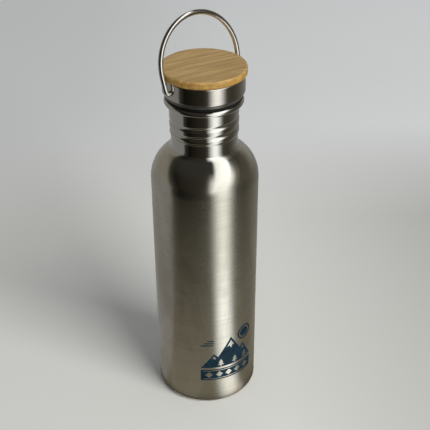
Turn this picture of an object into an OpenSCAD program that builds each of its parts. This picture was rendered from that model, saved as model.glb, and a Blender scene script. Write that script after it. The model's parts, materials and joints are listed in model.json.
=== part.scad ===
// Single-wall steel drinking bottle with a screw cap: bamboo top disc, steel cap shell,
// moulded threaded core, silicone gasket and a swinging wire bail.
// Frame: +Z up, origin at the centre of the foot, X along the bail's pivot axis. Millimetres.

/* [Barrel] */
// Outside diameter of the barrel
body_d = 73; // [70:0.5:76]
// Thickness of the steel sheet
sheet = 0.65; // [0.5:0.05:0.8]
// Outside radius of the corner between barrel and foot
corner_r = 3.9; // [3:0.1:5]
// Height at which the barrel turns into the shoulder
barrel_top = 177.5; // [150:0.5:200]
// Outside radius of the shoulder's curve
shoulder_r = 25.4; // [22:0.1:28]

/* [Neck] */
// Outside diameter of the neck below the thread
neck_d = 44.4; // [44:0.1:45]
// Radius of the hollow curve between shoulder and neck
neck_fillet_r = 5.7; // [4:0.1:8]
// Outside diameter of the neck above the thread
mouth_d = 45.8; // [45.6:0.1:46]
// Outside diameter of the rolled lip
lip_d = 52; // [51:0.1:53]
// Height of the rolled lip
lip_h = 4.2; // [4.2:0.1:5]

/* [Thread] */
// Rise of the thread in one turn
lead = 6.5; // [6:0.1:7]
// Depth of the groove rolled into the neck
groove_depth = 0.7; // [0.6:0.05:0.8]
// Width of the groove
groove_w = 4.2; // [3.6:0.1:4.4]
// Height of the ridge on the cap's core
ridge_h = 0.85; // [0.7:0.05:0.85]
// Width of the ridge on the cap's core
ridge_w = 4; // [3:0.1:4.2]

/* [Base] */
// Inside radius of the weld between barrel and base cup
weld_r = 31.5; // [31:0.1:32]
// Inner radius of the flat foot ring
foot_r = 29.2; // [28:0.1:30]
// Height of the recess under the base
recess_h = 2.6; // [2:0.1:3.5]

/* [Cap] */
// Outside diameter of the cap shell
cap_d = 53.7; // [53.2:0.1:54.4]
// Height of the cap shell
cap_h = 11.8; // [11.4:0.1:12.4]
// Thickness of the cap shell's sheet
cap_sheet = 0.5; // [0.4:0.05:0.5]
// Height of the hem folded up inside the cap shell
hem_h = 1.6; // [1.2:0.1:2]
// Thickness of the silicone gasket
gasket_t = 2; // [1.8:0.1:2.2]
// Wall of the moulded core
core_wall = 1.8; // [1.5:0.1:2.2]
// Depth of the core below its flange
core_depth = 29.6; // [28:0.1:30]

/* [Bamboo disc] */
// Diameter of the disc
disc_d = 56.2; // [55:0.1:57]
// Thickness of the disc
disc_t = 4.75; // [4:0.05:6]
// Radius of the disc's top edge
disc_edge_r = 1.4; // [0.8:0.1:2]
// Thickness of the adhesive under the disc
glue_t = 0.25; // [0.2:0.05:0.4]

/* [Bail] */
// Diameter of the bail's wire
wire_d = 3.3; // [3:0.1:3.4]
// Radius of the bail's arch, at the middle of the wire
arch_r = 30.6; // [30.4:0.1:33]
// Height of the arch's centre above the pivot
arch_h = 13.4; // [12:0.1:18]
// Lean of each leg towards the cap
leg_toe = 4; // [0:0.5:8]
// Radius of the bends at the bail's feet
foot_bend_r = 2.5; // [2.2:0.1:3.2]
// Lean of the bail from upright
bail_lean = 13.5; // [0:0.5:20]
// Play between the wire and its holes, on the radius
pivot_play = 0.08; // [0.05:0.01:0.1]

/* [Emblem] */
// Thickness of the printed ink
ink_t = 0.06; // [0.05:0.01:0.1]
// Width of the emblem
emblem_w = 40; // [30:1:44]
// Direction that the emblem faces
emblem_angle = -103; // [-180:1:180]
// Height of the emblem's lower edge above the foot
emblem_z = 23; // [15:0.5:60]

/* [Hidden] */
$fn = 96;
eps = 0.01;

// Bottle heights, from the foot up
body_r = body_d / 2;
neck_r = neck_d / 2;
mouth_r = mouth_d / 2;
lip_r = lip_d / 2;
shoulder_x = body_r - shoulder_r;
fillet_x = neck_r + neck_fillet_r;
fillet_z = barrel_top + sqrt(pow(shoulder_r + neck_fillet_r, 2) - pow(fillet_x - shoulder_x, 2));
blend_a = atan2(fillet_z - barrel_top, fillet_x - shoulder_x);
thread_base = fillet_z + 4.8;
thread_top = thread_base + 21;
lip_base = thread_top + 2.5;
lip_top = lip_base + lip_h;

// The rolled thread: a right-hand groove in the neck, and the core's ridge half a turn below it
groove_start_a = 91;
groove_start_z = thread_base + 4.6;
groove_turns = 1.83;
ridge_start_turn = 0.2;
ridge_turns = 1.2;
ridge_drop = lead / 2 - 0.4;
fade_turns = 0.09;
step_z = thread_base + 1.9;
step_h = 2;

// Facets of the threaded stretches
thread_sides = 48;
thread_row = 0.75;
tongue = 0.4;
tongue_inset = 0.06;

// Cap heights, closed on the lip
seat_gap = 0.05;
gasket_z = lip_top + seat_gap;
flange_z = gasket_z + gasket_t;
flange_t = 3;
flange_show = 2.35;
cap_base = flange_z + flange_show;
cap_top = cap_base + cap_h;
cap_r = cap_d / 2;
hem_fold_r = 0.55;
flange_r = cap_r - 2 * hem_fold_r - 0.05;
gasket_r = flange_r - 0.3;
core_r = 21.2;
core_base = flange_z - core_depth;
liner_t = 0.4;
liner_rim = 3.6;
glue_r = 25.5;
disc_r = disc_d / 2;
disc_z = cap_top + glue_t;
disc_low_edge_r = 0.6;

// Width at which the artwork is drawn
strip_w = 34;

// The bail's pivot
wire_r = wire_d / 2;
pivot_z = cap_base + 5;
pivot_r = wire_r + pivot_play;
wire_end_x = 22.4;
wire_lap = 0.12;
boss_w = 9;
boss_h = 8.6;

// Points of an arc about (x, z), from angle a to angle b
function arc(x, z, r, a, b, n = 8) =
    [for (i = [0:n]) let (t = a + (b - a) * i / n) [x + r * cos(t), z + r * sin(t)]];

// 0 up to x = 0, 1 from x = 1 on, smooth between
function ease(x) = let (t = min(1, max(0, x))) t * t * (3 - 2 * t);

// A round hump of width w about 0
function hump(x, w) = abs(x) >= w / 2 ? 0 : (1 + cos(360 * x / w)) / 2;

// Height of a helical hump at angle a and height z; its ends fade out
function helix(a, z, start_a, start_z, turns, w) =
    max([for (k = [-1:ceil(turns) + 1])
        let (t = (a - start_a) / 360 + k)
        (t < 0 || t > turns) ? 0
            : hump(z - start_z - lead * t, w) * ease(t / fade_turns) * ease((turns - t) / fade_turns)]);

// Outside radius of the neck in the threaded stretch
function neck_radius(a, z) =
    neck_r + (mouth_r - neck_r) * ease((z - step_z) / step_h)
    - groove_depth * helix(a, z, groove_start_a, groove_start_z, groove_turns, groove_w)
      * ease((z - step_z) / step_h);

// Outside radius of the core in the threaded stretch
function ridge_radius(a, z) =
    core_r + tongue_inset
    + ridge_h * helix(a, z, groove_start_a + 360 * ridge_start_turn,
                      groove_start_z + lead * (1 + ridge_start_turn) - ridge_drop, ridge_turns, ridge_w);

// Closed tube from rings of points: outer[i] and inner[i] are the rings at one height
module ring_tube(outer, inner) {
    rows = len(outer);
    n = len(outer[0]);
    points = concat([for (r = outer) each r], [for (r = inner) each r]);
    half = rows * n;
    sides = [for (i = [0:rows - 2], j = [0:n - 1])
        let (a = i * n + j, b = i * n + (j + 1) % n, c = b + n, d = a + n)
        each [[a, d, c], [a, c, b], [half + a, half + b, half + c], [half + a, half + c, half + d]]];
    last = (rows - 1) * n;
    ends = [for (j = [0:n - 1])
        let (a = j, b = (j + 1) % n)
        each [[a, b, half + b], [a, half + b, half + a],
              [last + a, half + last + b, last + b], [last + a, half + last + a, half + last + b]]];
    polyhedron(points, concat(sides, ends), convexity = 6);
}

// Ring of points at height z with a radius that depends on the angle
function ring(z, radii) =
    [for (j = [0:thread_sides - 1])
        let (a = 360 * j / thread_sides) [radii[j] * cos(a), radii[j] * sin(a), z]];

// The threaded stretch of the neck. Its ends are tongues inside the walls above and below.
module threaded_neck() {
    span = thread_top - thread_base;
    rows = round(span / thread_row);
    body = [for (i = [1:rows - 1]) thread_base + span * i / rows];
    low = [thread_base - tongue, thread_base - eps * 10];
    high = [thread_top + eps * 10, thread_top + tongue];
    heights = concat(low, body, high);
    function inset(z) = (z < thread_base || z > thread_top) ? tongue_inset : 0;
    function radii(z, drop) =
        [for (j = [0:thread_sides - 1]) neck_radius(360 * j / thread_sides, z) - drop];
    ring_tube([for (z = heights) ring(z, radii(z, inset(z)))],
              [for (z = heights) ring(z, radii(z, sheet - 2 * inset(z)))]);
}

// Drawn shell: foot corner, barrel, shoulder, neck with its rolled thread, and rolled lip
module bottle_shell() {
    corner_x = body_r - corner_r;
    lower = concat(
        [[weld_r, 0]],
        arc(corner_x, corner_r, corner_r, -90, 0),
        arc(shoulder_x, barrel_top, shoulder_r, 0, blend_a, 16),
        arc(fillet_x, fillet_z, neck_fillet_r, 180 + blend_a, 180),
        [[neck_r, thread_base], [neck_r - sheet, thread_base]],
        arc(fillet_x, fillet_z, neck_fillet_r + sheet, 180, 180 + blend_a),
        arc(shoulder_x, barrel_top, shoulder_r - sheet, blend_a, 0, 16),
        arc(corner_x, corner_r, corner_r - sheet, 0, -90),
        [[weld_r, sheet]]);
    bore = mouth_r - sheet;
    top_in = 1.3;
    top_out = 2.2;
    bottom_out = 1.8;
    lip = concat(
        [[bore, thread_top]],
        arc(bore + top_in, lip_top - top_in, top_in, 180, 90, 6),
        arc(lip_r - top_out, lip_top - top_out, top_out, 90, 0),
        arc(lip_r - bottom_out, lip_base + bottom_out, bottom_out, 0, -90, 6),
        [[mouth_r + 0.55, lip_base], [mouth_r + 0.55, lip_base + sheet]],
        arc(lip_r - bottom_out, lip_base + bottom_out, bottom_out - sheet, -90, 0, 4),
        arc(lip_r - top_out, lip_top - top_out, top_out - sheet, 0, 90),
        arc(bore + top_in, lip_top - top_in, top_in - sheet, 90, 180, 4),
        [[mouth_r, thread_top]]);
    color([0.62, 0.61, 0.57]) union() {
        rotate_extrude() polygon(lower);
        threaded_neck();
        rotate_extrude() polygon(lip);
    }
}

// Base cup: flat foot ring and raised centre, butt-welded to the shell
module base_cup() {
    bend = 1.5;
    slope = 45;
    run = recess_h - 2 * bend * (1 - cos(slope));
    inner_x = foot_r - 2 * bend * sin(slope) - run / tan(slope);
    section = concat(
        [[weld_r, sheet], [weld_r, 0]],
        arc(foot_r, bend, bend, -90, -90 - slope, 5),
        arc(inner_x, recess_h - bend, bend, 90 - slope, 90, 5),
        [[0, recess_h], [0, recess_h + sheet]],
        arc(inner_x, recess_h - bend, bend + sheet, 90, 90 - slope, 5),
        arc(foot_r, bend, bend - sheet, -90 - slope, -90, 5));
    color([0.58, 0.57, 0.54]) rotate_extrude() polygon(section);
}

// Flat artwork of the emblem: a sun behind three peaks, pines, and a plain strip of lozenges
module artwork() {
    strip_h = 8.6;
    ground = strip_h + 1.6;
    lozenge_pitch = 6.2;
    sun_r = 5.2;
    difference() {
        translate([-strip_w / 2, 0]) square([strip_w, strip_h]);
        for (i = [-2:2]) translate([i * lozenge_pitch, strip_h / 2]) circle(d = 4.6, $fn = 4);
        for (y = [1.1, strip_h - 1.1]) translate([0, y]) square([strip_w - 3, 0.5], center = true);
    }
    difference() {
        polygon([[-17, ground], [-9.5, ground + 11], [-7, ground + 8.2], [1.5, ground + 22],
                 [8.2, ground + 10.4], [10.4, ground + 13], [17, ground]]);
        polygon([[1.5, ground + 19.4], [-1.4, ground + 14.4], [0.4, ground + 15.6], [1.6, ground + 13.2],
                 [2.8, ground + 15.8], [4.1, ground + 14.8]]);
        polygon([[-9.5, ground + 9.4], [-11.2, ground + 6.8], [-9.9, ground + 7.5], [-9.1, ground + 6.2],
                 [-8.2, ground + 7.4]]);
        polygon([[10.2, ground + 11.2], [9, ground + 8.4], [10.1, ground + 9], [11, ground + 7.8],
                 [11.6, ground + 9]]);
        for (x = [-5.2, 4.4, 11.8]) translate([x, ground - 0.5]) pine(6.4, 4.4);
    }
    translate([11.6, ground + 21]) difference() {
        circle(r = sun_r);
        circle(r = sun_r - 1.1);
    }
    translate([11.6, ground + 21]) circle(r = sun_r - 2);
    translate([-12.4, ground + 18]) cloud();
}

// Pine tree of two stacked triangles on a trunk
module pine(h, w) {
    polygon([[-w / 2, h * 0.22], [0, h * 0.72], [w / 2, h * 0.22]]);
    polygon([[-w * 0.36, h * 0.52], [0, h], [w * 0.36, h * 0.52]]);
    translate([-0.35, 0]) square([0.7, h * 0.3]);
}

// Three level bars that read as cloud
module cloud() {
    for (i = [0:2]) translate([i - 1, i * 1.7]) square([7 - i * 1.6, 0.8], center = true);
}

// Ink film on the barrel
module printed_emblem() {
    film_in = body_r + eps;
    film_out = body_r + ink_t;
    height = 50;
    color([0.03, 0.14, 0.22]) intersection() {
        translate([0, 0, emblem_z - 1]) difference() {
            cylinder(r = film_out, h = height);
            translate([0, 0, -1]) cylinder(r = film_in, h = height + 2);
        }
        rotate([0, 0, emblem_angle]) translate([body_r - 12, 0, emblem_z])
            rotate([90, 0, 90]) linear_extrude(14) scale(emblem_w / strip_w) artwork();
    }
}

// Silicone washer between the lip and the core's flange
module mouth_gasket() {
    color([0.10, 0.10, 0.10]) translate([0, 0, gasket_z]) difference() {
        cylinder(r = gasket_r, h = gasket_t);
        translate([0, 0, -1]) cylinder(r = mouth_r - 0.6, h = gasket_t + 2);
    }
}

// Moulded core: hollow threaded plug with a flange, and two bosses that hold the bail's ends
module cap_core() {
    floor_t = 2;
    inner_r = core_r - core_wall;
    cup_top = cap_top - cap_sheet - seat_gap;
    reduced_r = core_r - liner_t - 0.05;
    foot_chamfer = 0.4;
    ridge_low = groove_start_z + lead * (1 + ridge_start_turn) - ridge_drop - ridge_w / 2;
    ridge_high = ridge_low + ridge_w + lead * ridge_turns;
    rows = round((ridge_high - ridge_low) / thread_row);
    heights = [for (i = [0:rows]) ridge_low + (ridge_high - ridge_low) * i / rows];
    color([0.16, 0.16, 0.17]) union() {
        difference() {
            union() {
                translate([0, 0, core_base])
                    cylinder(r1 = reduced_r - foot_chamfer, r2 = reduced_r, h = foot_chamfer);
                translate([0, 0, core_base + foot_chamfer]) cylinder(r = reduced_r, h = liner_rim);
                translate([0, 0, core_base + liner_rim + 0.1])
                    cylinder(r = core_r, h = cup_top - core_base - liner_rim - 0.1);
                translate([0, 0, flange_z]) cylinder(r = flange_r, h = flange_t);
                intersection() {
                    translate([0, 0, flange_z]) cylinder(r = flange_r, h = boss_h + flange_t);
                    translate([-cap_r, -boss_w / 2, flange_z + flange_t / 2])
                        cube([cap_d, boss_w, boss_h + flange_t / 2]);
                }
            }
            translate([0, 0, core_base + floor_t])
                cylinder(r = inner_r, h = cup_top - core_base);
            for (side = [0, 180]) rotate([0, 0, side])
                translate([wire_end_x - 0.3, 0, pivot_z]) rotate([0, 90, 0]) cylinder(r = pivot_r, h = cap_r);
        }
        ring_tube(
            [for (z = heights)
                ring(z, [for (j = [0:thread_sides - 1]) ridge_radius(360 * j / thread_sides, z)])],
            [for (z = heights) ring(z, [for (j = [0:thread_sides - 1]) core_r - core_wall / 2])]);
    }
}

// Steel cup clipped over the foot of the core
module plug_liner() {
    outer_r = core_r;
    edge = 0.8;
    base = core_base - seat_gap - liner_t;
    top = core_base + liner_rim;
    section = concat(
        [[0, base]],
        arc(outer_r - edge, base + edge, edge, -90, 0, 5),
        [[outer_r, top], [outer_r - liner_t, top]],
        arc(outer_r - edge, base + edge, edge - liner_t, 0, -90, 5),
        [[0, base + liner_t]]);
    color([0.66, 0.66, 0.64]) rotate_extrude() polygon(section);
}

// Drawn cap shell: closed top, side holes for the bail, hem folded up inside over the core's flange
module cap_shell() {
    edge = 1.2;
    fold_x = cap_r - hem_fold_r;
    fold_z = cap_base + hem_fold_r;
    hem_x = cap_r - 2 * hem_fold_r;
    section = concat(
        [[0, cap_top]],
        arc(cap_r - edge, cap_top - edge, edge, 90, 0, 6),
        arc(fold_x, fold_z, hem_fold_r, 0, -180, 8),
        [[hem_x, cap_base + hem_h], [hem_x + cap_sheet, cap_base + hem_h]],
        arc(fold_x, fold_z, hem_fold_r - cap_sheet, -180, 0, 4),
        arc(cap_r - edge, cap_top - edge, edge - cap_sheet, 0, 90, 6),
        [[0, cap_top - cap_sheet]]);
    color([0.60, 0.60, 0.58]) difference() {
        rotate_extrude() polygon(section);
        translate([-cap_r - 1, 0, pivot_z]) rotate([0, 90, 0]) cylinder(r = pivot_r, h = cap_d + 2);
    }
}

// Film of adhesive that holds the bamboo disc
module adhesive_pad() {
    color([0.85, 0.80, 0.62]) translate([0, 0, cap_top]) cylinder(r = glue_r, h = glue_t);
}

// Bamboo disc with rounded edges
module bamboo_disc() {
    section = concat(
        [[0, disc_z]],
        arc(disc_r - disc_low_edge_r, disc_z + disc_low_edge_r, disc_low_edge_r, -90, 0, 4),
        arc(disc_r - disc_edge_r, disc_z + disc_t - disc_edge_r, disc_edge_r, 0, 90, 8),
        [[0, disc_z + disc_t]]);
    color([0.74, 0.60, 0.38]) rotate_extrude() polygon(section);
}

// One foot of the bail, on the +X side: toed-in leg, bend and straight pivot end. The straight
// stretches are a hair thicker and lap over the ends of the curved ones.
module bail_foot() {
    straight_r = wire_r + 0.01;
    top_x = arch_r * cos(leg_toe);
    top_z = arch_h - arch_r * sin(leg_toe);
    bend_x = top_x - (sin(leg_toe) * (top_z - foot_bend_r) + foot_bend_r) / cos(leg_toe);
    low_x = bend_x + foot_bend_r * cos(leg_toe);
    low_z = foot_bend_r - foot_bend_r * sin(leg_toe);
    translate([low_x, 0, low_z]) rotate([0, leg_toe, 0]) translate([0, 0, -wire_lap])
        cylinder(r = straight_r, h = (top_z - low_z) / cos(leg_toe) + 2 * wire_lap);
    translate([bend_x, 0, foot_bend_r]) rotate([90, 0, 0]) rotate([0, 0, -90])
        rotate_extrude(angle = 90 - leg_toe) translate([foot_bend_r, 0]) circle(r = wire_r);
    translate([wire_end_x, 0, 0]) rotate([0, 90, 0])
        cylinder(r = straight_r, h = bend_x - wire_end_x + wire_lap);
}

// Wire bail: round arch on two legs whose bent ends turn in the cap
module wire_bail() {
    color([0.70, 0.70, 0.69]) translate([0, 0, pivot_z]) rotate([-bail_lean, 0, 0]) union() {
        translate([0, 0, arch_h]) rotate([90, 0, 0]) rotate([0, 0, -leg_toe])
            rotate_extrude(angle = 180 + 2 * leg_toe) translate([arch_r, 0]) circle(r = wire_r);
        for (side = [0, 180]) rotate([0, 0, side]) bail_foot();
    }
}

bottle_shell();
base_cup();
printed_emblem();
mouth_gasket();
cap_core();
plug_liner();
cap_shell();
adhesive_pad();
bamboo_disc();
wire_bail();
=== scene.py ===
import json
from math import asin, atan2, ceil, cos, degrees, hypot, pi, radians, sin, sqrt, tan

import bmesh
import bpy
from mathutils import Matrix, Vector

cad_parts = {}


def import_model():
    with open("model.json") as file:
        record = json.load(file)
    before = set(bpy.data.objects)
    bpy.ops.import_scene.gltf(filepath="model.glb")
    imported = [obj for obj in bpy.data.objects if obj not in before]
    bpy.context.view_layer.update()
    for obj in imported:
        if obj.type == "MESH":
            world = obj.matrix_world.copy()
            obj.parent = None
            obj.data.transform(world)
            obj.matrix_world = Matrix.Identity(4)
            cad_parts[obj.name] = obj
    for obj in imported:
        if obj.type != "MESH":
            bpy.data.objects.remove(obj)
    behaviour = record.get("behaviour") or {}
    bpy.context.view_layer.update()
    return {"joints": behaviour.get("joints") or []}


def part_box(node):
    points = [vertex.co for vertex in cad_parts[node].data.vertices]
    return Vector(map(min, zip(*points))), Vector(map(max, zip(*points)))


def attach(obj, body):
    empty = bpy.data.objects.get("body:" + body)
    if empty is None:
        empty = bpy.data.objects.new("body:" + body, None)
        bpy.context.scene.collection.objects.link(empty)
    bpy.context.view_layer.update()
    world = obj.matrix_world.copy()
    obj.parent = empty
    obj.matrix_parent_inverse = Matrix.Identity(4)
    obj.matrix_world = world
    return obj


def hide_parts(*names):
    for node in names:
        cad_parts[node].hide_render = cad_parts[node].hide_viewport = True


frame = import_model()

MM = 0.001
ROUND = 288          # segments of a turned piece
SHARP = 38           # degrees between faces from which an edge stays sharp
REACH = 2            # how far a cutter stands past what it cuts, in millimetres

# The bottle, in millimetres. Heights and outer radii come from the frame.
shell_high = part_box("bottle_shell")[1]
cap_low, cap_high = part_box("cap_shell")
disc_low, disc_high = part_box("bamboo_disc")
liner_low, liner_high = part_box("plug_liner")
gasket_low, gasket_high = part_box("mouth_gasket")
pivot = next(j for j in frame["joints"] if j["name"] == "bail_swing")["pos_m"]

BODY_R = shell_high.x / MM
SHEET = 0.65
CORNER_R = 3.9
BARREL_TOP = 177.5
SHOULDER_R = 25.4
NECK_R = 22.2
FILLET_R = 5.7
MOUTH_R = 22.9
LIP_R = 26.0
LIP_H = 4.2
LIP_TOP = shell_high.z / MM
LIP_UNDER_R = 1.8    # the rolled lip: its lower, upper and inner round
LIP_OVER_R = 2.2
LIP_INNER_R = 1.3
WELD_R = 31.5
FOOT_R = 29.2
RECESS_H = 2.6

# The rolled thread, a right-hand groove in the neck
LEAD = 6.5
GROOVE_DEPTH = 0.7
GROOVE_W = 4.2
GROOVE_START = 91
GROOVE_TURNS = 1.83
RIDGE_H = 0.85
RIDGE_W = 4.0
RIDGE_START_TURN = 0.2
RIDGE_TURNS = 1.2
RIDGE_DROP = LEAD / 2 - 0.4
FADE_TURNS = 0.09

SHOULDER_X = BODY_R - SHOULDER_R
FILLET_X = NECK_R + FILLET_R
FILLET_Z = BARREL_TOP + sqrt((SHOULDER_R + FILLET_R) ** 2 - (FILLET_X - SHOULDER_X) ** 2)
BLEND_A = degrees(atan2(FILLET_Z - BARREL_TOP, FILLET_X - SHOULDER_X))
THREAD_BASE = FILLET_Z + 4.8
THREAD_TOP = THREAD_BASE + 21
STEP_Z = THREAD_BASE + 1.9
STEP_H = 2.0
GROOVE_Z = THREAD_BASE + 4.6
ROW = 0.3            # spacing of rows where the wall is shaped

# The cap, in millimetres
CAP_BASE = cap_low.z / MM
CAP_TOP = cap_high.z / MM
CAP_R = cap_high.x / MM
CAP_SHEET = 0.5
HEM_H = 1.6
FOLD_R = 0.55
FLANGE_R = CAP_R - 2 * FOLD_R - 0.05
FLANGE_Z = gasket_high.z / MM
FLANGE_T = 3.0
CORE_R = 21.2
CORE_WALL = 1.8
CORE_BASE = FLANGE_Z - 29.6
LINER_T = 0.4
DISC_R = disc_high.x / MM
DISC_Z = disc_low.z / MM
DISC_TOP = disc_high.z / MM
DISC_EDGE_R = 1.4
GLUE_R = 25.5
BOSS_W = 9.0
BOSS_H = 8.6

# The bail, in millimetres
PIVOT_Z = pivot[2] / MM
WIRE_R = 1.65
ARCH_R = 30.6
ARCH_H = 13.4
LEG_TOE = 4.0
FOOT_BEND_R = 2.5
WIRE_END_X = 22.4
BAIL_LEAN = 13.5
PIVOT_R = WIRE_R + 0.08

# The emblem
EMBLEM_ANGLE = -103
EMBLEM_Z = 23.0
EMBLEM_STRIP_W = 34.0    # width of the drawing as drawn
EMBLEM_W = 40.0          # and on the barrel
EMBLEM_SCALE = EMBLEM_W / EMBLEM_STRIP_W
EMBLEM_COLUMN = 0.5      # width of the columns that follow the barrel
EMBLEM_COLUMNS = 42      # cuts to each side of the middle
INK_LIFT = 0.012
INK_T = 0.035

# The camera stands off the bottle's axis in this direction and looks down on it
VIEW_TURN = -39
CAMERA_BACK = 523.6
CAMERA_UP = 482.2
CAMERA_PITCH = 32.816
CAMERA_YAW = -0.746
CAMERA_ROLL = -0.242
LENS = 74.64
SENSOR = 36.0


# ---------------------------------------------------------------- shapes

def arc(x, z, r, a, b, n=10):
    """Points of an arc about (x, z), from angle a to angle b."""
    angles = [radians(a + (b - a) * i / n) for i in range(n + 1)]
    return [(x + r * cos(t), z + r * sin(t)) for t in angles]


def line(x0, z0, x1, z1, n):
    """n + 1 points from (x0, z0) to (x1, z1)."""
    return [(x0 + (x1 - x0) * i / n, z0 + (z1 - z0) * i / n) for i in range(n + 1)]


def ease(x):
    """0 up to x = 0, 1 from x = 1 on, smooth between."""
    t = min(1.0, max(0.0, x))
    return t * t * (3 - 2 * t)


def hump(x, width):
    """A round hump of that width about 0."""
    return 0.0 if abs(x) >= width / 2 else (1 + cos(2 * pi * x / width)) / 2


def helix(angle, z, start, start_z, turns, width):
    """Height of a helical hump at that angle and height. Its ends fade out."""
    best = 0.0
    for k in range(-1, ceil(turns) + 2):
        t = (degrees(angle) - start) / 360 + k
        if 0 <= t <= turns:
            fade = ease(t / FADE_TURNS) * ease((turns - t) / FADE_TURNS)
            best = max(best, hump(z - start_z - LEAD * t, width) * fade)
    return best


def clean(pairs, gap=0.004):
    """The outline without points that repeat the one before."""
    kept = [pairs[0]]
    for p in pairs[1:]:
        if hypot(p[0] - kept[-1][0], p[1] - kept[-1][1]) > gap:
            kept.append(p)
    return kept


def mesh_object(name, bm):
    """Closes off a bmesh as an object with smooth faces and outward normals."""
    bmesh.ops.recalc_face_normals(bm, faces=bm.faces)
    mesh = bpy.data.meshes.new(name)
    bm.to_mesh(mesh)
    bm.free()
    mesh.polygons.foreach_set("use_smooth", [True] * len(mesh.polygons))
    mesh.set_sharp_from_angle(angle=radians(SHARP))
    piece = bpy.data.objects.new(name, mesh)
    bpy.context.scene.collection.objects.link(piece)
    return piece


def lathe(name, outline, shift=None, segments=ROUND):
    """Turns an outline of (radius, height) in millimetres about Z. An outline that starts and ends on
    the axis is closed there, and any other is closed on itself. shift(angle, radius, height) moves a
    point outwards."""
    outline = clean(outline)
    on_axis = outline[0][0] < 1e-6
    bm = bmesh.new()
    rings = []
    for r, z in outline:
        if r < 1e-6:
            rings.append([bm.verts.new((0, 0, z * MM))])
            continue
        ring = []
        for j in range(segments):
            angle = 2 * pi * j / segments
            radius = (r + (shift(angle, r, z) if shift else 0)) * MM
            ring.append(bm.verts.new((radius * cos(angle), radius * sin(angle), z * MM)))
        rings.append(ring)
    pairs = list(zip(rings, rings[1:]))
    if not on_axis:
        pairs.append((rings[-1], rings[0]))
    for low, high in pairs:
        for j in range(segments):
            k = (j + 1) % segments
            a, b = low[j % len(low)], low[k % len(low)]
            c, d = high[k % len(high)], high[j % len(high)]
            corners = [v for i, v in enumerate((a, b, c, d)) if v not in (a, b, c, d)[:i]]
            bm.faces.new(corners)
    return mesh_object(name, bm)


def block(name, size, centre):
    """A plain block, used only as a cutter or as stock for a boss."""
    bm = bmesh.new()
    bmesh.ops.create_cube(bm, size=1.0)
    bmesh.ops.scale(bm, vec=[s * MM for s in size], verts=bm.verts)
    bmesh.ops.translate(bm, vec=[c * MM for c in centre], verts=bm.verts)
    return mesh_object(name, bm)


def rod(name, radius, x0, x1, z, segments=64):
    """A round rod along X."""
    bm = bmesh.new()
    turn = Matrix.Translation(((x0 + x1) / 2 * MM, 0, z * MM)) @ Matrix.Rotation(pi / 2, 4, "Y")
    bmesh.ops.create_cone(bm, cap_ends=True, segments=segments, radius1=radius * MM, radius2=radius * MM,
                          depth=(x1 - x0) * MM, matrix=turn)
    return mesh_object(name, bm)


def combine(piece, other, operation):
    """Joins, cuts or intersects piece with other, and removes other."""
    step = piece.modifiers.new("combine", "BOOLEAN")
    step.operation = operation
    step.object = other
    step.solver = "EXACT"
    bpy.context.view_layer.update()
    shown = piece.evaluated_get(bpy.context.evaluated_depsgraph_get())
    mesh = bpy.data.meshes.new_from_object(shown)
    piece.modifiers.clear()
    piece.data = mesh
    mesh.polygons.foreach_set("use_smooth", [True] * len(mesh.polygons))
    mesh.set_sharp_from_angle(angle=radians(SHARP))
    bpy.data.objects.remove(other)
    return piece


def sweep(name, path, radius, sides=32, end_round=0.35):
    """A round wire along a path in millimetres, with slightly rounded ends."""
    bm = bmesh.new()
    points = [Vector(p) for p in path]
    tangents = []
    for i in range(len(points)):
        ahead = points[min(i + 1, len(points) - 1)]
        behind = points[max(i - 1, 0)]
        tangents.append((ahead - behind).normalized())
    stations = [(points[0], radius - end_round, tangents[0])]
    stations.append((points[0] + tangents[0] * end_round, radius, tangents[0]))
    stations += [(p, radius, t) for p, t in zip(points[1:-1], tangents[1:-1])]
    stations.append((points[-1] - tangents[-1] * end_round, radius, tangents[-1]))
    stations.append((points[-1], radius - end_round, tangents[-1]))
    across = Vector((0, 1, 0))
    rings = []
    for centre, r, tangent in stations:
        side = tangent.cross(across).normalized()
        up = side.cross(tangent).normalized()
        ring = []
        for j in range(sides):
            a = 2 * pi * j / sides
            ring.append(bm.verts.new((centre + side * (r * cos(a)) + up * (r * sin(a))) * MM))
        rings.append(ring)
    for low, high in zip(rings, rings[1:]):
        for j in range(sides):
            k = (j + 1) % sides
            bm.faces.new((low[j], low[k], high[k], high[j]))
    bm.faces.new(rings[0][::-1])
    bm.faces.new(rings[-1])
    return mesh_object(name, bm)


# ---------------------------------------------------------------- materials

# Base colours. A tint multiplies what lies under it
HAZE_TINT = (0.76, 0.75, 0.73)
WIRE_DARK = (0.60, 0.59, 0.57)
WIRE_LIGHT = (0.72, 0.71, 0.69)
BAMBOO_DARK = (0.36, 0.215, 0.072)
BAMBOO_LIGHT = (0.66, 0.45, 0.18)
BAMBOO_STRIP = (0.60, 0.42, 0.18)
BAMBOO_FIBRE = (0.28, 0.16, 0.056)
BAMBOO_VESSEL = (0.17, 0.085, 0.03)
BAMBOO_SEAM = (0.24, 0.13, 0.05)
BAMBOO_SIDE_TINT = (0.90, 0.79, 0.44)
BAMBOO_PORE = (0.25, 0.145, 0.048)
INK_DARK = (0.003, 0.014, 0.026)
INK_LIGHT = (0.006, 0.030, 0.050)
INK_RUBBED = (0.10, 0.11, 0.10)

GRAIN_TURN = 12      # degrees between the bamboo's grain and X
STRIP_W = 5.4        # width of the disc's strips, in millimetres
POLISH_LOW = 0.180   # the body turns from brushed to polished between these heights, in metres
POLISH_HIGH = 0.206
ANISOTROPY_TURN = 0.25


def graph(name):
    """A new node material: its tree's helper and its Principled shader."""
    material = bpy.data.materials.new(name)
    material.use_nodes = True
    tree = material.node_tree
    shader = tree.nodes["Principled BSDF"]
    return material, tree, shader


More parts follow.
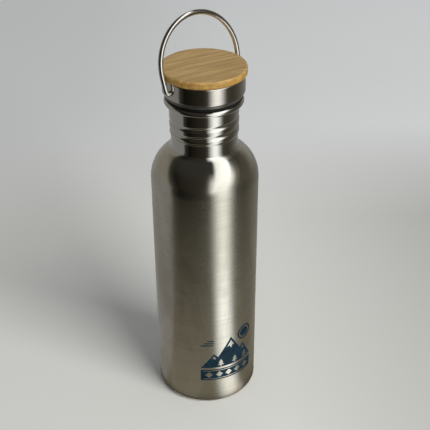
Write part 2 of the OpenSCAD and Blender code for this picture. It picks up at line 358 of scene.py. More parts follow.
def node(tree, kind, inputs=None, **settings):
    """Adds a node, sets its properties, and sets or links its inputs by name or number."""
    made = tree.nodes.new(kind)
    for key, value in settings.items():
        setattr(made, key, value)
    for key, value in (inputs or {}).items():
        if isinstance(value, bpy.types.NodeSocket):
            tree.links.new(value, made.inputs[key])
        else:
            made.inputs[key].default_value = value
    return made


def place(tree, scale, turn=(0, 0, 0)):
    """Object coordinates, turned and then scaled."""
    coords = node(tree, "ShaderNodeTexCoord")
    turned = node(tree, "ShaderNodeMapping", {"Vector": coords.outputs["Object"], "Rotation": turn})
    return node(tree, "ShaderNodeMapping", {"Vector": turned.outputs[0], "Scale": scale}).outputs[0]


def noise(tree, vector, scale=1.0, detail=2.0, roughness=0.5, distortion=0.0):
    """A noise value from 0 to 1."""
    return node(tree, "ShaderNodeTexNoise",
                {"Vector": vector, "Scale": scale, "Detail": detail, "Roughness": roughness,
                 "Distortion": distortion}).outputs["Fac"]


def spread(tree, value, low, high, to_low, to_high):
    """Maps low..high to to_low..to_high, held at the ends."""
    return node(tree, "ShaderNodeMapRange",
                {"Value": value, "From Min": low, "From Max": high, "To Min": to_low, "To Max": to_high}
                ).outputs[0]


def maths(tree, operation, a, b=0.0):
    """One Math node."""
    return node(tree, "ShaderNodeMath", {0: a, 1: b}, operation=operation).outputs[0]


def blend_colour(tree, factor, a, b, mode="MIX"):
    """Mixes two colours by factor."""
    mixed = node(tree, "ShaderNodeMix", data_type="RGBA", blend_type=mode)
    for index, value in ((0, factor), (6, a), (7, b)):
        if isinstance(value, bpy.types.NodeSocket):
            tree.links.new(value, mixed.inputs[index])
        elif index == 0:
            mixed.inputs[0].default_value = value
        else:
            mixed.inputs[index].default_value = (*value, 1.0)
    return mixed.outputs[2]


def link(tree, value, shader, socket):
    tree.links.new(value, shader.inputs[socket])


def bump(tree, height, distance, strength=1.0):
    """A bump normal from a height value."""
    return node(tree, "ShaderNodeBump",
                {"Height": height, "Distance": distance, "Strength": strength}).outputs[0]


def steel(name, light, dark, rough=(0.2, 0.3), lines=(14, 14, 1500), aniso=0.6, smudge=0.35,
          stain=(0.36, 0.29, 0.20), bump_depth=0.000004, polish=None):
    """Brushed steel: fine lines round the axis, broader bands, hand marks, tarnish and haze. polish is
    (from height, to height, share of the roughness left above, colour above)."""
    material, tree, shader = graph(name)
    fine = noise(tree, place(tree, lines), detail=4.0, roughness=0.7)
    bands = noise(tree, place(tree, (lines[0] * 0.5, lines[1] * 0.5, lines[2] * 0.22)), detail=3.0)
    grain = maths(tree, "ADD", maths(tree, "MULTIPLY", fine, 0.6), maths(tree, "MULTIPLY", bands, 0.4))
    marks = noise(tree, place(tree, (26, 26, 15)), detail=4.0, roughness=0.55, distortion=0.8)
    marks = spread(tree, marks, 0.44, 0.68, 0.0, smudge)
    patches = noise(tree, place(tree, (13, 13, 9)), detail=2.0)
    patches = spread(tree, patches, 0.42, 0.62, 0.0, 1.0)
    metal = blend_colour(tree, spread(tree, grain, 0.3, 0.7, 0.0, 1.0), dark, light)
    warm = blend_colour(tree, maths(tree, "MULTIPLY", marks, patches), metal, stain)
    haze = noise(tree, place(tree, (34, 34, 13)), detail=4.0, roughness=0.6, distortion=1.2)
    haze = spread(tree, haze, 0.40, 0.60, 0.0, smudge)
    warm = blend_colour(tree, haze, warm, HAZE_TINT, "MULTIPLY")
    if polish:
        height = node(tree, "ShaderNodeSeparateXYZ", {"Vector": place(tree, (1, 1, 1))}).outputs["Z"]
        above = spread(tree, height, polish[0], polish[1], 0.0, 1.0)
        warm = blend_colour(tree, above, warm, polish[3])
    link(tree, warm, shader, "Base Color")
    spread_rough = spread(tree, grain, 0.3, 0.7, rough[1], rough[0])
    worn = maths(tree, "ADD", maths(tree, "MULTIPLY", marks, 0.14), maths(tree, "MULTIPLY", haze, 0.10))
    worn_rough = maths(tree, "ADD", spread_rough, worn)
    if polish:
        worn_rough = maths(tree, "MULTIPLY", worn_rough, spread(tree, above, 0.0, 1.0, 1.0, polish[2]))
    link(tree, worn_rough, shader, "Roughness")
    link(tree, bump(tree, grain, bump_depth), shader, "Normal")
    shader.inputs["Metallic"].default_value = 1.0
    shader.inputs["Anisotropic"].default_value = aniso
    shader.inputs["Anisotropic Rotation"].default_value = ANISOTROPY_TURN
    tangent = node(tree, "ShaderNodeTangent", direction_type="RADIAL", axis="Z")
    link(tree, tangent.outputs[0], shader, "Tangent")
    return material


def wire_steel():
    """Polished drawn wire with faint die lines and rubbed spots."""
    material, tree, shader = graph("polished_wire")
    lines = noise(tree, place(tree, (900, 260, 60)), detail=3.0)
    spots = noise(tree, place(tree, (160, 160, 160)), detail=3.0)
    colour = blend_colour(tree, spread(tree, lines, 0.35, 0.65, 0.0, 1.0), WIRE_DARK, WIRE_LIGHT)
    link(tree, colour, shader, "Base Color")
    link(tree, spread(tree, spots, 0.35, 0.7, 0.07, 0.16), shader, "Roughness")
    link(tree, bump(tree, lines, 0.000002), shader, "Normal")
    shader.inputs["Metallic"].default_value = 1.0
    return material


def bamboo():
    """Laminated bamboo: strips along the grain, fine fibres, dark vessel dashes, pores and a deeper
    colour on the side, thin lacquer."""
    material, tree, shader = graph("bamboo")
    turn = (0, 0, radians(GRAIN_TURN))
    across = place(tree, (1, 1, 1), turn)
    parts = node(tree, "ShaderNodeSeparateXYZ", {"Vector": across})
    strip = maths(tree, "FLOOR", maths(tree, "DIVIDE", parts.outputs["Y"], STRIP_W * MM))
    tone = node(tree, "ShaderNodeTexWhiteNoise", {"W": strip}, noise_dimensions="1D").outputs["Value"]
    seam = maths(tree, "ABSOLUTE", maths(tree, "SUBTRACT",
                 maths(tree, "FRACT", maths(tree, "DIVIDE", parts.outputs["Y"], STRIP_W * MM)), 0.5))
    seam = spread(tree, seam, 0.485, 0.5, 0.0, 1.0)
    fibres = noise(tree, place(tree, (38, 900, 900), turn), detail=5.0, roughness=0.65)
    streaks = noise(tree, place(tree, (14, 330, 330), turn), detail=3.0, roughness=0.6)
    vessels = noise(tree, place(tree, (110, 2300, 2300), turn), detail=2.0)
    ground = blend_colour(tree, spread(tree, streaks, 0.32, 0.68, 0.0, 1.0), BAMBOO_DARK, BAMBOO_LIGHT)
    ground = blend_colour(tree, spread(tree, tone, 0.0, 1.0, 0.0, 0.35), ground, BAMBOO_STRIP)
    ground = blend_colour(tree, spread(tree, fibres, 0.40, 0.70, 0.0, 0.75), ground, BAMBOO_FIBRE)
    ground = blend_colour(tree, spread(tree, vessels, 0.60, 0.72, 0.0, 0.55), ground, BAMBOO_VESSEL)
    ground = blend_colour(tree, maths(tree, "MULTIPLY", seam, 0.35), ground, BAMBOO_SEAM)
    height = node(tree, "ShaderNodeSeparateXYZ", {"Vector": place(tree, (1, 1, 1))}).outputs["Z"]
    edge = spread(tree, height, (DISC_TOP - 1.5) * MM, (DISC_TOP - 0.2) * MM, 1.0, 0.0)
    ends = noise(tree, place(tree, (700, 700, 260)), detail=3.0, roughness=0.6)
    ground = blend_colour(tree, edge, ground, BAMBOO_SIDE_TINT, "MULTIPLY")
    pores = maths(tree, "MULTIPLY", edge, spread(tree, ends, 0.46, 0.64, 0.0, 0.5))
    ground = blend_colour(tree, pores, ground, BAMBOO_PORE)
    link(tree, ground, shader, "Base Color")
    link(tree, spread(tree, fibres, 0.3, 0.7, 0.36, 0.52), shader, "Roughness")
    relief = maths(tree, "SUBTRACT", maths(tree, "MULTIPLY", fibres, 0.5), maths(tree, "MULTIPLY", seam, 0.6))
    link(tree, bump(tree, relief, 0.00006, 0.6), shader, "Normal")
    shader.inputs["Coat Weight"].default_value = 0.12
    shader.inputs["Coat Roughness"].default_value = 0.3
    return material


def moulded(name, base, lift, rough=(0.42, 0.6), grain=1800, gloss=0.5):
    """Moulded plastic or rubber: fine texture, slight tone changes."""
    material, tree, shader = graph(name)
    tone = noise(tree, place(tree, (60, 60, 60)), detail=3.0)
    texture = noise(tree, place(tree, (grain,) * 3), detail=2.0)
    colour = blend_colour(tree, spread(tree, tone, 0.35, 0.65, 0.0, 1.0), base, lift)
    link(tree, colour, shader, "Base Color")
    link(tree, spread(tree, texture, 0.3, 0.7, rough[0], rough[1]), shader, "Roughness")
    link(tree, bump(tree, texture, 0.00002, 0.5), shader, "Normal")
    shader.inputs["Specular IOR Level"].default_value = gloss
    return material


def ink():
    """Printed ink: a dark blue-green that varies a little, thin and rubbed in places."""
    material, tree, shader = graph("ink")
    cloud = noise(tree, place(tree, (120, 120, 120)), detail=4.0)
    worn = noise(tree, place(tree, (420, 420, 900)), detail=4.0, roughness=0.7)
    colour = blend_colour(tree, spread(tree, cloud, 0.35, 0.65, 0.0, 1.0), INK_DARK, INK_LIGHT)
    colour = blend_colour(tree, spread(tree, worn, 0.62, 0.74, 0.0, 0.35), colour, INK_RUBBED)
    link(tree, colour, shader, "Base Color")
    link(tree, spread(tree, worn, 0.3, 0.7, 0.42, 0.58), shader, "Roughness")
    shader.inputs["Specular IOR Level"].default_value = 0.12
    link(tree, bump(tree, worn, 0.00001, 0.5), shader, "Normal")
    return material


BODY_STEEL = steel("brushed_steel_body", (0.735, 0.722, 0.645), (0.62, 0.605, 0.53), rough=(0.17, 0.25),
                   smudge=0.6, stain=(0.35, 0.28, 0.19),
                   polish=(POLISH_LOW, POLISH_HIGH, 0.22, (0.67, 0.66, 0.625)))
CAP_STEEL = steel("steel_cap", (0.70, 0.675, 0.63), (0.60, 0.575, 0.53), rough=(0.09, 0.15), smudge=0.15)
BASE_STEEL = steel("steel_base", (0.64, 0.62, 0.58), (0.54, 0.52, 0.48), rough=(0.26, 0.36),
                   lines=(700, 700, 700), aniso=0.2)
LINER_STEEL = steel("steel_liner", (0.66, 0.65, 0.62), (0.58, 0.57, 0.54), rough=(0.22, 0.32), smudge=0.1)
WIRE = wire_steel()
BAMBOO = bamboo()
CORE = moulded("core_plastic", (0.038, 0.037, 0.033), (0.054, 0.052, 0.047), rough=(0.14, 0.24),
               gloss=1.0)
SILICONE = moulded("silicone", (0.003, 0.003, 0.003), (0.008, 0.008, 0.008), rough=(0.5, 0.7),
                   grain=900, gloss=0.2)
GLUE = moulded("adhesive", (0.50, 0.42, 0.27), (0.62, 0.54, 0.38), rough=(0.4, 0.6), grain=500)
INK = ink()


def dress(piece, node_name, body, material):
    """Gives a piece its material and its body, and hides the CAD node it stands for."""
    piece.data.materials.clear()
    piece.data.materials.append(material)
    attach(piece, body)
    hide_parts(node_name)
    return piece


# ---------------------------------------------------------------- bottle

def neck_shift(angle, r, z):
    """How far the threaded stretch of the neck stands off its lower radius."""
    if not THREAD_BASE < z < THREAD_TOP:
        return 0.0
    rise = ease((z - STEP_Z) / STEP_H)
    groove = helix(angle, z, GROOVE_START, GROOVE_Z, GROOVE_TURNS, GROOVE_W)
    return rise * (MOUTH_R - NECK_R - GROOVE_DEPTH * groove)


def bottle_shell():
    """One sheet from the weld up the outside, over the lip and down the inside."""
    corner_x = BODY_R - CORNER_R
    rows = round((THREAD_TOP - THREAD_BASE) / ROW)
    lip_base = LIP_TOP - LIP_H
    bore = MOUTH_R - SHEET
    outside = [(WELD_R, 0)]
    outside += arc(corner_x, CORNER_R, CORNER_R, -90, 0, 12)
    outside += line(BODY_R, CORNER_R, BODY_R, BARREL_TOP, 24)
    outside += arc(SHOULDER_X, BARREL_TOP, SHOULDER_R, 0, BLEND_A, 28)
    outside += arc(FILLET_X, FILLET_Z, FILLET_R, 180 + BLEND_A, 180, 14)
    outside += line(NECK_R, FILLET_Z, NECK_R, THREAD_BASE, 5)
    outside += line(NECK_R, THREAD_BASE + ROW, NECK_R, THREAD_TOP - ROW, rows)
    outside += line(MOUTH_R, THREAD_TOP, MOUTH_R, lip_base + 0.15, 4)
    outside += arc(MOUTH_R + 0.5, lip_base + 0.25, 0.25, 180, 270, 4)
    outside += arc(LIP_R - LIP_UNDER_R, lip_base + LIP_UNDER_R, LIP_UNDER_R, -90, 0, 14)
    outside += arc(LIP_R - LIP_OVER_R, LIP_TOP - LIP_OVER_R, LIP_OVER_R, 0, 90, 16)
    outside += arc(bore + LIP_INNER_R, LIP_TOP - LIP_INNER_R, LIP_INNER_R, 90, 180, 12)
    inside = line(bore, lip_base, bore, THREAD_TOP, 4)
    inside += [(r - SHEET, z) for r, z in line(NECK_R, THREAD_TOP - ROW, NECK_R, THREAD_BASE + ROW, rows)]
    inside += line(NECK_R - SHEET, THREAD_BASE, NECK_R - SHEET, FILLET_Z, 5)
    inside += arc(FILLET_X, FILLET_Z, FILLET_R + SHEET, 180, 180 + BLEND_A, 14)
    inside += arc(SHOULDER_X, BARREL_TOP, SHOULDER_R - SHEET, BLEND_A, 0, 28)
    inside += line(BODY_R - SHEET, BARREL_TOP, BODY_R - SHEET, CORNER_R, 24)
    inside += arc(corner_x, CORNER_R, CORNER_R - SHEET, 0, -90, 12)
    inside += [(WELD_R, SHEET)]
    piece = lathe("shell", outside + inside, neck_shift)
    return dress(piece, "bottle_shell", "bottle", BODY_STEEL)


def base_cup():
    """The recessed base: a foot ring, a slope and a flat middle."""
    bend = 1.5
    slope = 45
    run = RECESS_H - 2 * bend * (1 - cos(radians(slope)))
    inner_x = FOOT_R - 2 * bend * sin(radians(slope)) - run / tan(radians(slope))
    outline = [(0, RECESS_H + SHEET)]
    outline += arc(inner_x, RECESS_H - bend, bend + SHEET, 90, 90 - slope, 8)
    outline += arc(FOOT_R, bend, bend - SHEET, -90 - slope, -90, 8)
    outline += [(WELD_R, SHEET), (WELD_R, 0)]
    outline += arc(FOOT_R, bend, bend, -90, -90 - slope, 8)
    outline += arc(inner_x, RECESS_H - bend, bend, 90 - slope, 90, 8)
    outline += line(inner_x * 0.96, RECESS_H, 0, RECESS_H, 12)
    piece = lathe("base_cup_pressing", outline)
    return dress(piece, "base_cup", "bottle", BASE_STEEL)


# ---------------------------------------------------------------- emblem

def emblem_outlines():
    """The emblem's flat outlines in millimetres, u to the right and v up. A hole is an outline inside
    another."""
    strip_w = EMBLEM_STRIP_W
    strip_h = 8.6
    ground = strip_h + 1.6

    def up(points, lift=ground):
        return [(u, v + lift) for u, v in points]

    def diamond(u, v, r):
        return [(u - r, v), (u, v + r), (u + r, v), (u, v - r)]

    def bar(u, v, w, h):
        left, right, low, high = u - w / 2, u + w / 2, v - h / 2, v + h / 2
        return [(left, low), (right, low), (right, high), (left, high)]

    def disc(u, v, r):
        return [(u + r * cos(2 * pi * i / 48), v + r * sin(2 * pi * i / 48)) for i in range(48)]

    def pine(u, v, h, w):
        trunk, notch, tier = 0.35, w * 0.13, w * 0.36
        skirt, middle = v + h * 0.22, v + h * 0.52
        return [(u - trunk, v), (u - trunk, skirt), (u - w / 2, skirt), (u - notch, middle),
                (u - tier, middle), (u, v + h), (u + tier, middle), (u + notch, middle),
                (u + w / 2, skirt), (u + trunk, skirt), (u + trunk, v)]

    outlines = [bar(0, strip_h / 2, strip_w, strip_h)]
    outlines += [diamond(i * 6.2, strip_h / 2, 2.3) for i in range(-2, 3)]
    outlines += [bar(0, v, strip_w - 3, 0.5) for v in (1.1, strip_h - 1.1)]
    outlines.append(up([(-17, 0), (-9.5, 11), (-7, 8.2), (1.5, 22), (8.2, 10.4), (10.4, 13), (17, 0)]))
    outlines.append(up([(1.5, 19.4), (-1.4, 14.4), (0.4, 15.6), (1.6, 13.2), (2.8, 15.8), (4.1, 14.8)]))
    outlines.append(up([(-9.5, 9.4), (-11.2, 6.8), (-9.9, 7.5), (-9.1, 6.2), (-8.2, 7.4)]))
    outlines.append(up([(10.2, 11.2), (9, 8.4), (10.1, 9), (11, 7.8), (11.6, 9)]))
    outlines += [pine(u, ground + 0.3, 5.9, 4.4) for u in (-5.2, 4.4, 11.8)]
    outlines += [disc(11.6, ground + 21, r) for r in (5.2, 4.1, 3.2)]
    outlines += [bar(-12.4 + i - 1, ground + 18 + i * 1.7, 7 - i * 1.6, 0.8) for i in range(3)]
    return outlines


def printed_emblem():
    """A thin ink film that follows the barrel: the flat outlines are filled, cut into narrow columns,
    wrapped onto the barrel and given a little thickness."""
    flat = bpy.data.curves.new("emblem_flat", "CURVE")
    flat.dimensions = "2D"
    flat.fill_mode = "BOTH"
    for points in emblem_outlines():
        spline = flat.splines.new("POLY")
        spline.points.add(len(points) - 1)
        for p, (u, v) in zip(spline.points, points):
            p.co = (u * EMBLEM_SCALE, v * EMBLEM_SCALE, 0, 1)
        spline.use_cyclic_u = True
    holder = bpy.data.objects.new("emblem_flat", flat)
    bpy.context.scene.collection.objects.link(holder)
    bpy.context.view_layer.update()
    filled = bpy.data.meshes.new_from_object(holder.evaluated_get(bpy.context.evaluated_depsgraph_get()))
    bpy.data.objects.remove(holder)
    bm = bmesh.new()
    bm.from_mesh(filled)
    bmesh.ops.remove_doubles(bm, verts=bm.verts, dist=1e-5)
    for i in range(-EMBLEM_COLUMNS, EMBLEM_COLUMNS + 1):
        everything = bm.verts[:] + bm.edges[:] + bm.faces[:]
        bmesh.ops.bisect_plane(bm, geom=everything, plane_co=(i * EMBLEM_COLUMN, 0, 0), plane_no=(1, 0, 0))
    inner = BODY_R + INK_LIFT
    for v in bm.verts:
        angle = radians(EMBLEM_ANGLE) + asin(v.co.x / BODY_R)
        v.co = Vector((inner * cos(angle), inner * sin(angle), EMBLEM_Z + v.co.y)) * MM
    raised = bmesh.ops.extrude_face_region(bm, geom=bm.faces[:])
    grow = (inner + INK_T) / inner
    for v in raised["geom"]:
        if isinstance(v, bmesh.types.BMVert):
            v.co.x *= grow
            v.co.y *= grow
    piece = mesh_object("ink_film", bm)
    return dress(piece, "printed_emblem", "bottle", INK)


# ---------------------------------------------------------------- cap

def mouth_gasket():
    low, high = gasket_low.z / MM, gasket_high.z / MM
    outer, inner, edge = FLANGE_R - 0.3, MOUTH_R - 0.6, 0.35
    outline = arc(outer - edge, low + edge, edge, -90, 0, 6)
    outline += arc(outer - edge, high - edge, edge, 0, 90, 6)
    outline += arc(inner + edge, high - edge, edge, 90, 180, 6)
    outline += arc(inner + edge, low + edge, edge, 180, 270, 6)
    piece = lathe("gasket_ring", outline)
    return dress(piece, "mouth_gasket", "gasket", SILICONE)


def ridge_shift(angle, r, z):
    """How far the core's thread ridge stands out."""
    if r < CORE_R - 0.01:
        return 0.0
    start_z = GROOVE_Z + LEAD * (1 + RIDGE_START_TURN) - RIDGE_DROP
    return RIDGE_H * helix(angle, z, GROOVE_START + 360 * RIDGE_START_TURN, start_z, RIDGE_TURNS, RIDGE_W)


def cap_core():
    """Hollow plug with its thread and flange, and two bored bosses for the bail's ends."""
    top = CAP_TOP - CAP_SHEET - 0.05
    inner = CORE_R - CORE_WALL
    waist = liner_high.z / MM + 0.1
    reduced = CORE_R - LINER_T - 0.05
    rows = round((FLANGE_Z - 1.0 - waist) / ROW)
    outline = [(0, CORE_BASE)]
    outline += arc(reduced - 0.8, CORE_BASE + 0.8, 0.8, -90, 0, 6)
    outline += [(reduced, waist), (CORE_R, waist)]
    outline += line(CORE_R, waist + 0.1, CORE_R, FLANGE_Z - 0.6, rows)
    outline += [(CORE_R, FLANGE_Z), (FLANGE_R - 0.25, FLANGE_Z)]
    outline += arc(FLANGE_R - 0.25, FLANGE_Z + 0.25, 0.25, -90, 0, 4)
    outline += arc(FLANGE_R - 0.4, FLANGE_Z + FLANGE_T - 0.4, 0.4, 0, 90, 5)
    outline += [(CORE_R, FLANGE_Z + FLANGE_T), (CORE_R, top - 0.3), (CORE_R - 0.3, top), (inner + 0.3, top)]
    outline += [(inner, top - 0.3), (inner, CORE_BASE + 3.0)]
    outline += arc(inner - 1.0, CORE_BASE + 3.0, 1.0, 0, -90, 6)
    outline += [(0, CORE_BASE + 2.0)]
    piece = lathe("core", outline, ridge_shift)
    low = FLANGE_Z + FLANGE_T / 2
    reach = FLANGE_R
    for side in (-1, 1):
        middle = side * (CORE_R - 0.9 + reach) / 2
        boss = block("boss", (reach - CORE_R + 0.9, BOSS_W, BOSS_H + FLANGE_T / 2),
                     (middle, 0, low + (BOSS_H + FLANGE_T / 2) / 2))
        under, over = low - 1, low + BOSS_H + 4
        limit = lathe("limit", [(0, under), (reach, under), (reach, over), (0, over)])
        combine(boss, limit, "INTERSECT")
        bore = rod("bore", PIVOT_R, *sorted((side * (WIRE_END_X - 0.3), side * (CAP_R + REACH))), PIVOT_Z)
        combine(boss, bore, "DIFFERENCE")
        combine(piece, boss, "UNION")
    return dress(piece, "cap_core", "cap", CORE)


def plug_liner():
    """A thin steel cup over the foot of the plug."""
    base = liner_low.z / MM
    top = liner_high.z / MM
    edge = 0.8
    outline = [(0, base)]
    outline += line(2, base, CORE_R - edge - 2, base, 6)
    outline += arc(CORE_R - edge, base + edge, edge, -90, 0, 8)
    outline += arc(CORE_R - LINER_T / 2, top - LINER_T / 2, LINER_T / 2, 0, 180, 8)
    outline += arc(CORE_R - edge, base + edge, edge - LINER_T, 0, -90, 8)
    outline += [(0, base + LINER_T)]
    piece = lathe("liner_cup", outline)
    return dress(piece, "plug_liner", "cap", LINER_STEEL)


def cap_shell():
    """Drawn cap with side holes, its lower edge folded up inside over the core's flange."""
    edge = 1.2
    fold_z = CAP_BASE + FOLD_R
    fold_x = CAP_R - FOLD_R
    outline = [(0, CAP_TOP)]
    outline += line(4, CAP_TOP, CAP_R - edge - 1, CAP_TOP, 8)
    outline += arc(CAP_R - edge, CAP_TOP - edge, edge, 90, 0, 10)
    outline += line(CAP_R, CAP_TOP - edge - 1, CAP_R, fold_z + 1, 8)
    outline += arc(fold_x, fold_z, FOLD_R, 0, -180, 16)
    outline += [(fold_x - FOLD_R, CAP_BASE + HEM_H), (fold_x - FOLD_R + CAP_SHEET, CAP_BASE + HEM_H)]
    outline += arc(fold_x, fold_z, FOLD_R - CAP_SHEET, -180, 0, 6)
    outline += arc(CAP_R - edge, CAP_TOP - edge, edge - CAP_SHEET, 0, 90, 8)
    outline += [(0, CAP_TOP - CAP_SHEET)]
    piece = lathe("cap_skirt", outline)
    combine(piece, rod("holes", PIVOT_R, -CAP_R - REACH, CAP_R + REACH, PIVOT_Z), "DIFFERENCE")
    return dress(piece, "cap_shell", "cap", CAP_STEEL)


def adhesive_pad():
    """The film between cap and disc, with a bulged edge."""
    low, high = CAP_TOP, DISC_Z
    bulge = (high - low) / 2
    outline = [(0, low)] + arc(GLUE_R - bulge, low + bulge, bulge, -90, 90, 8) + [(0, high)]
    piece = lathe("glue_film", outline)
    return dress(piece, "adhesive_pad", "cap", GLUE)


def bamboo_disc():
    low_edge = 0.6
    outline = [(0, DISC_Z)]
    outline += line(4, DISC_Z, DISC_R - low_edge - 1, DISC_Z, 8)
    outline += arc(DISC_R - low_edge, DISC_Z + low_edge, low_edge, -90, 0, 8)
    outline += arc(DISC_R - DISC_EDGE_R, DISC_TOP - DISC_EDGE_R, DISC_EDGE_R, 0, 90, 12)
    outline += line(DISC_R - DISC_EDGE_R - 1, DISC_TOP, 4, DISC_TOP, 8)
    outline += [(0, DISC_TOP)]
    piece = lathe("bamboo_top", outline)
    return dress(piece, "bamboo_disc", "cap", BAMBOO)


def wire_bail():
    """One bent wire. Its path lies in the XZ plane about the pivot and is then leaned back."""
    toe = radians(LEG_TOE)
    top_x, top_z = ARCH_R * cos(toe), ARCH_H - ARCH_R * sin(toe)
    bend_x = top_x - (sin(toe) * (top_z - FOOT_BEND_R) + FOOT_BEND_R) / cos(toe)
    low_x, low_z = bend_x + FOOT_BEND_R * cos(toe), FOOT_BEND_R - FOOT_BEND_R * sin(toe)
    half = line(WIRE_END_X, 0, bend_x, 0, 4)
    half += arc(bend_x, FOOT_BEND_R, FOOT_BEND_R, -90, -LEG_TOE, 14)
    half += line(low_x, low_z, top_x, top_z, 6)
    half += arc(0, ARCH_H, ARCH_R, -LEG_TOE, 90, 56)
    half = clean(half)
    path = [(x, 0, z) for x, z in half] + [(-x, 0, z) for x, z in reversed(half[:-1])]
    piece = sweep("bail_wire", path, WIRE_R)
    lean = Matrix.Translation((0, 0, PIVOT_Z * MM)) @ Matrix.Rotation(radians(-BAIL_LEAN), 4, "X")
    piece.data.transform(lean)
    return dress(piece, "wire_bail", "bail", WIRE)


# ---------------------------------------------------------------- stage, light and camera

# The floor's colours. Near means beside the bottle, far means behind it, as seen by the camera
# These colours paint the light's falloff: the near right colour is painted shade, and the far colours and the
# farthest tint are painted light.
FLOOR_SIZE = 8.0
NEAR_LEFT = (0.785, 0.785, 0.762)
NEAR_RIGHT_PAINTED_SHADE = (0.52, 0.518, 0.50)
FAR_LEFT = (0.765, 0.775, 0.79)
FAR_RIGHT = (0.86, 0.872, 0.89)
FARTHEST_PAINTED_LIGHT = (1.11, 1.12, 1.12)
FLOOR_MOTTLE = (0.70, 0.70, 0.70)


def floor():
    """A pale floor with the light's falloff painted in: painted shade makes it a little darker to the right,
    and painted light makes it cooler and brighter far away.
    """
    bm = bmesh.new()
    bmesh.ops.create_grid(bm, x_segments=2, y_segments=2, size=FLOOR_SIZE)
    piece = mesh_object("floor", bm)
    material, tree, shader = graph("floor")
    tone = noise(tree, place(tree, (9, 9, 9)), detail=3.0)
    turned = place(tree, (1, 1, 1), (0, 0, -radians(VIEW_TURN)))
    parts = node(tree, "ShaderNodeSeparateXYZ", {"Vector": turned})
    right, away = parts.outputs["X"], parts.outputs["Y"]
    # painted shade to the right beside the bottle, painted light far away
    near = blend_colour(tree, spread(tree, right, 0.06, 0.24, 0.0, 1.0), NEAR_LEFT, NEAR_RIGHT_PAINTED_SHADE)
    far = blend_colour(tree, spread(tree, right, -0.16, 0.04, 0.0, 1.0), FAR_LEFT, FAR_RIGHT)
    far = blend_colour(tree, spread(tree, away, 0.5, 1.0, 0.0, 1.0), far, FARTHEST_PAINTED_LIGHT, "MULTIPLY")
    ground = blend_colour(tree, spread(tree, away, 0.22, 0.42, 0.0, 1.0), near, far)
    colour = blend_colour(tree, spread(tree, tone, 0.3, 0.7, 0.0, 0.06), ground, FLOOR_MOTTLE)
    link(tree, colour, shader, "Base Color")
    shader.inputs["Roughness"].default_value = 0.75
    shader.inputs["Specular IOR Level"].default_value = 0.2
    piece.data.materials.append(material)


# What the steel mirrors, by direction: degrees round from the camera's side, and brightness.
# It is a studio of soft panels: one tall bright panel to the right of the camera, dark cloth
# between it and the left, and grey walls behind. Upright walls mirror what lies on the floor, and
# the shoulder and the grooves mirror what stands above it.
FLOOR_PANELS = ((-180, 0.28), (-128, 0.22), (-74, 0.21), (-67, 0.03), (-52, 0.005), (-34, 0.011),
                (0, 0.022), (10, 0.05), (17, 0.35), (24, 0.80), (32, 1.15), (42, 1.15), (50, 0.70),
                (58, 0.24), (65, 0.05), (84, 0.04), (104, 0.07), (140, 0.18), (180, 0.28))
DOME_PANELS = ((-180, 0.14), (-128, 0.11), (-78, 0.10), (-68, 0.02), (-52, 0.004), (-34, 0.010),
               (0, 0.014), (4, 0.03), (10, 0.32), (17, 0.66), (40, 0.76), (48, 0.44), (56, 0.10),
               (70, 0.03), (104, 0.04), (122, 0.08), (140, 0.12), (160, 0.14), (180, 0.14))
DARK_TINT = (1.12, 1.0, 0.76)
LIGHT_TINT = (1.0, 1.0, 0.97)
LIGHT_LEVEL = 0.25                        # brightness from which a panel has the light tint
OVERHEAD_DARK = (0.017, 0.016, 0.014)
FLOOR_GLOW = (0.228, 0.208, 0.162)        # the least that the floor near the bottle shows
# painted contact shadow: what the foot mirrors where it meets the floor
PAINTED_CONTACT_SHADOW = (0.010, 0.009, 0.007)
DOME_R = 2.4
FLOOR_LEVEL = 1.15
OVERHEAD_LEVEL = 2.2
OVERHANG = 0.8                            # how far the panels lean back over the bottle
PANEL_GAP = 37                            # inner radius of the floor card, in millimetres
PANEL_LIFT = 0.3                          # its height
PANEL_T = 0.1                             # and its thickness
DOME_T = 10


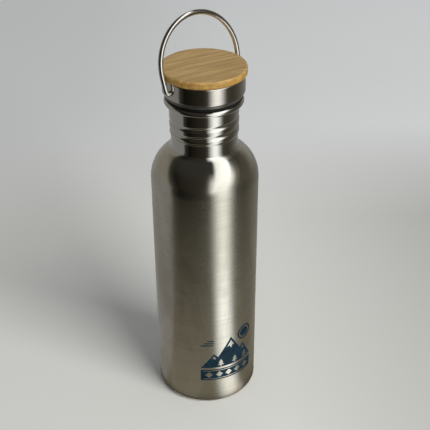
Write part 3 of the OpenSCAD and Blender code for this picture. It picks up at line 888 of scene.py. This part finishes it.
def panel_material(name, overhead):
    """Light that only mirrors see, as a function of direction round the bottle. On the floor the dark cloth
    brightens towards the bottle and carries a painted contact shadow where the bottle stands; overhead the
    panels lean back over it and darken."""
    material = bpy.data.materials.new(name)
    material.use_nodes = True
    tree = material.node_tree
    tree.nodes.clear()
    coords = node(tree, "ShaderNodeTexCoord").outputs["Object"]
    parts = node(tree, "ShaderNodeSeparateXYZ", {"Vector": coords})
    right, back = parts.outputs["X"], parts.outputs["Y"]
    ahead = maths(tree, "MULTIPLY", back, -1.0)
    if overhead:
        ahead = maths(tree, "ADD", ahead, maths(tree, "MULTIPLY", parts.outputs["Z"], OVERHANG))
    angle = maths(tree, "ARCTAN2", right, ahead)
    turn = spread(tree, angle, -pi, pi, 0.0, 1.0)
    ramp = node(tree, "ShaderNodeValToRGB", {"Fac": turn})
    stops = ramp.color_ramp.elements
    panels = DOME_PANELS if overhead else FLOOR_PANELS
    while len(stops) < len(panels):
        stops.new(0.5)
    for stop, (degree, level) in zip(stops, panels):
        stop.position = (degree + 180) / 360
        share = ease(level / LIGHT_LEVEL)
        tint = [d + (l - d) * share for d, l in zip(DARK_TINT, LIGHT_TINT)]
        stop.color = (*[level * t for t in tint], 1)
    light = ramp.outputs["Color"]
    if overhead:
        high = spread(tree, parts.outputs["Z"], 0.5 * DOME_R, 0.85 * DOME_R, 0.0, 1.0)
        dim = spread(tree, light, 0.4, 0.7, 1.0, 0.0)
        light = blend_colour(tree, maths(tree, "MULTIPLY", high, dim), light, OVERHEAD_DARK)
        strength = OVERHEAD_LEVEL
    else:
        reach = node(tree, "ShaderNodeVectorMath", {0: coords}, operation="LENGTH").outputs["Value"]
        near = spread(tree, reach, 0.05, 0.34, 0.75, 0.0)
        light = blend_colour(tree, near, light, FLOOR_GLOW, "LIGHTEN")
        # painted contact shadow at the bottle's foot
        contact_shadow = spread(tree, reach, 0.0378, 0.0422, 0.92, 0.0)
        light = blend_colour(tree, contact_shadow, light, PAINTED_CONTACT_SHADOW)
        strength = FLOOR_LEVEL
    glow = node(tree, "ShaderNodeEmission", {"Color": light, "Strength": strength})
    out = node(tree, "ShaderNodeOutputMaterial")
    tree.links.new(glow.outputs[0], out.inputs["Surface"])
    return material


def mirror_only(piece):
    """The piece shows in reflections and nowhere else."""
    piece.visible_camera = False
    piece.visible_diffuse = False
    piece.visible_shadow = False
    piece.visible_transmission = False
    piece.visible_volume_scatter = False
    piece.rotation_euler.z = radians(VIEW_TURN)


def reflections():
    """The dome and the floor card that the steel mirrors."""
    rim = DOME_R / MM
    dome = lathe("dome", [(0, rim)] + arc(0, 0, rim, 88, 0, 24) + arc(0, 0, rim + DOME_T, 0, 88, 24)
                 + [(0, rim + DOME_T)], segments=64)
    dome.data.materials.append(panel_material("panels_overhead", True))
    mirror_only(dome)
    low, high = PANEL_LIFT, PANEL_LIFT + PANEL_T
    ground = lathe("panel_floor", [(PANEL_GAP, low), (rim, low), (rim, high), (PANEL_GAP, high)],
                   segments=64)
    ground.data.materials.append(panel_material("panels_floor", False))
    mirror_only(ground)


LIGHT_AIM_Z = 0.12   # height on the bottle that the panel looks at


def area_light(name, azimuth, elevation, distance, size, power, colour):
    """A soft panel that looks at the bottle. azimuth is round from the camera's side, to the right."""
    lamp = bpy.data.lights.new(name, "AREA")
    lamp.shape = "RECTANGLE"
    lamp.size, lamp.size_y = size
    lamp.energy = power
    lamp.color = colour
    holder = bpy.data.objects.new(name, lamp)
    a, e = radians(azimuth - 90 + VIEW_TURN), radians(elevation)
    target = Vector((0, 0, LIGHT_AIM_Z))
    holder.location = target + distance * Vector((cos(a) * cos(e), sin(a) * cos(e), sin(e)))
    holder.rotation_euler = (target - holder.location).to_track_quat("-Z", "Y").to_euler()
    holder.visible_glossy = False
    bpy.context.scene.collection.objects.link(holder)


def world(level):
    """Even light from all round."""
    sky = bpy.data.worlds.new("studio")
    sky.use_nodes = True
    sky.node_tree.nodes["Background"].inputs["Color"].default_value = (*level, 1)
    sky.node_tree.nodes["Background"].inputs["Strength"].default_value = 1.0
    bpy.context.scene.world = sky


def camera():
    """The camera, set by its place, yaw, pitch and roll in a frame that is turned by VIEW_TURN."""
    lens = bpy.data.cameras.new("camera")
    lens.lens = LENS
    lens.sensor_width = SENSOR
    lens.clip_start = 0.01
    lens.clip_end = 50
    holder = bpy.data.objects.new("camera", lens)
    yaw, pitch, roll = radians(CAMERA_YAW), radians(CAMERA_PITCH), radians(CAMERA_ROLL)
    right = Vector((cos(yaw), sin(yaw), 0))
    ahead = Vector((-sin(yaw) * cos(pitch), cos(yaw) * cos(pitch), -sin(pitch)))
    up = right.cross(ahead)
    right, up = cos(roll) * right + sin(roll) * up, cos(roll) * up - sin(roll) * right
    turn = Matrix.Rotation(radians(VIEW_TURN), 3, "Z")
    axes = turn @ Matrix((right, up, -ahead)).transposed()
    spot = turn @ Vector((0, -CAMERA_BACK, CAMERA_UP)) * MM
    holder.matrix_world = Matrix.Translation(spot) @ axes.to_4x4()
    bpy.context.scene.collection.objects.link(holder)
    bpy.context.scene.camera = holder


camera()
bottle_shell()
base_cup()
printed_emblem()
mouth_gasket()
cap_core()
plug_liner()
cap_shell()
adhesive_pad()
bamboo_disc()
wire_bail()

floor()
reflections()
area_light("window", 44, 34, 2.6, (1.6, 1.3), 66, (1.0, 0.99, 0.96))
world((0.275, 0.283, 0.283))
bpy.context.scene.view_settings.view_transform = "Standard"
bpy.context.scene.view_settings.look = "None"
